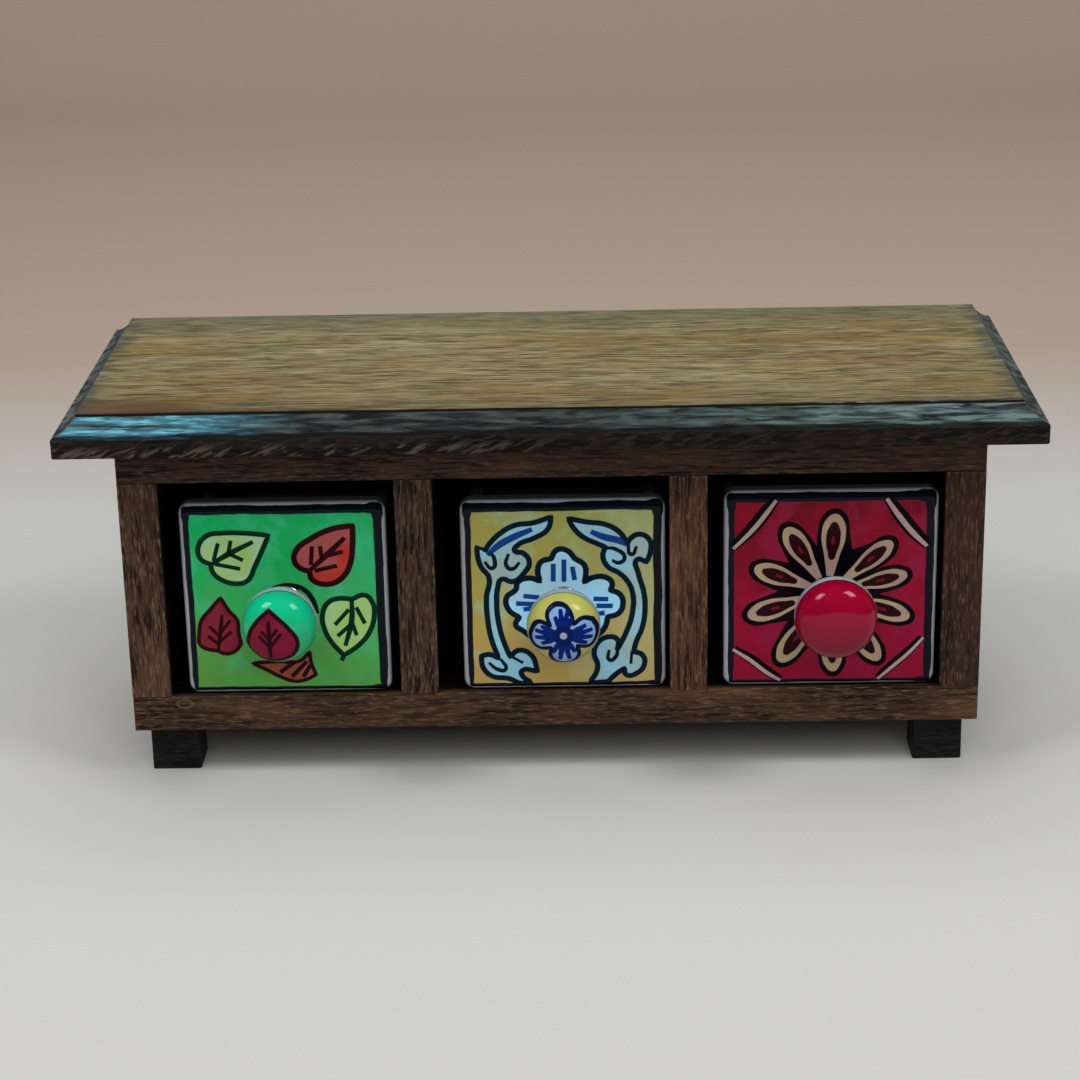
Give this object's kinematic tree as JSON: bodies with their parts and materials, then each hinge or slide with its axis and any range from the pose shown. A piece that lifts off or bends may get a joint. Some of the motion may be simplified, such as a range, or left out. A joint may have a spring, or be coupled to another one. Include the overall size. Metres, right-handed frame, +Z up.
{
  "type": "desk drawer box",
  "caption": "Low wooden box on square feet with a moulded top board and open bays that hold sliding glazed ceramic drawers with round knobs, for small craft parts.",
  "frame": {"origin": "on the floor, in the middle of the whole box seen from above, knobs included", "axes": "+X to the right of someone facing the drawers, +Y towards the back, +Z up; the drawers open along -Y"},
  "size_m": [0.305, 0.1368, 0.1271],
  "materials": {
    "board_wood": "stained and waxed, satin",
    "case_wood": "dark stain, satin",
    "panel_wood": "dark stain, dull",
    "foot_wood": "dark stain, satin",
    "shim_wood": "bare",
    "green_glaze": "glossy glaze over hand painting",
    "yellow_glaze": "glossy glaze over hand painting",
    "red_glaze": "glossy glaze over hand painting",
    "green_knob_glaze": "glossy glaze",
    "yellow_knob_glaze": "glossy glaze",
    "red_knob_glaze": "glossy glaze",
    "bright_collar": "polished",
    "zinc_steel": "zinc plated",
    "dark_steel": "dull"
  },
  "bodies": {
    "case": {"top_board": "board_wood", "bottom_plank": "case_wood", "upper_plank": "case_wood", "left_side": "case_wood", "left_partition": "case_wood", "right_partition": "case_wood", "right_side": "case_wood", "back_panel": "panel_wood", "front_left_foot": "foot_wood", "front_right_foot": "foot_wood", "back_left_foot": "foot_wood", "back_right_foot": "foot_wood", "shim_leaf": "shim_wood", "lower_nails": "dark_steel", "upper_nails": "dark_steel", "top_board_screws": "dark_steel", "foot_screws": "dark_steel", "back_panel_pins": "dark_steel"},
    "left_drawer_body": {"left_drawer": "green_glaze", "left_knob": "green_knob_glaze", "left_knob_collar": "bright_collar", "left_knob_stud": "zinc_steel", "left_knob_washer": "zinc_steel", "left_knob_nut": "zinc_steel"},
    "middle_drawer_body": {"middle_drawer": "yellow_glaze", "middle_knob": "yellow_knob_glaze", "middle_knob_collar": "bright_collar", "middle_knob_stud": "zinc_steel", "middle_knob_washer": "zinc_steel", "middle_knob_nut": "zinc_steel"},
    "right_drawer_body": {"right_drawer": "red_glaze", "right_knob": "red_knob_glaze", "right_knob_collar": "bright_collar", "right_knob_stud": "zinc_steel", "right_knob_washer": "zinc_steel", "right_knob_nut": "zinc_steel"}
  },
  "joints": [
    {"name": "left_drawer_slide", "type": "slide", "parent": "case", "child": "left_drawer_body", "axis": [0, -1, 0], "range_m": [0, 0.06]},
    {"name": "middle_drawer_slide", "type": "slide", "parent": "case", "child": "middle_drawer_body", "axis": [0, -1, 0], "range_m": [0, 0.06]},
    {"name": "right_drawer_slide", "type": "slide", "parent": "case", "child": "right_drawer_body", "axis": [0, -1, 0], "range_m": [0, 0.06]}
  ]
}
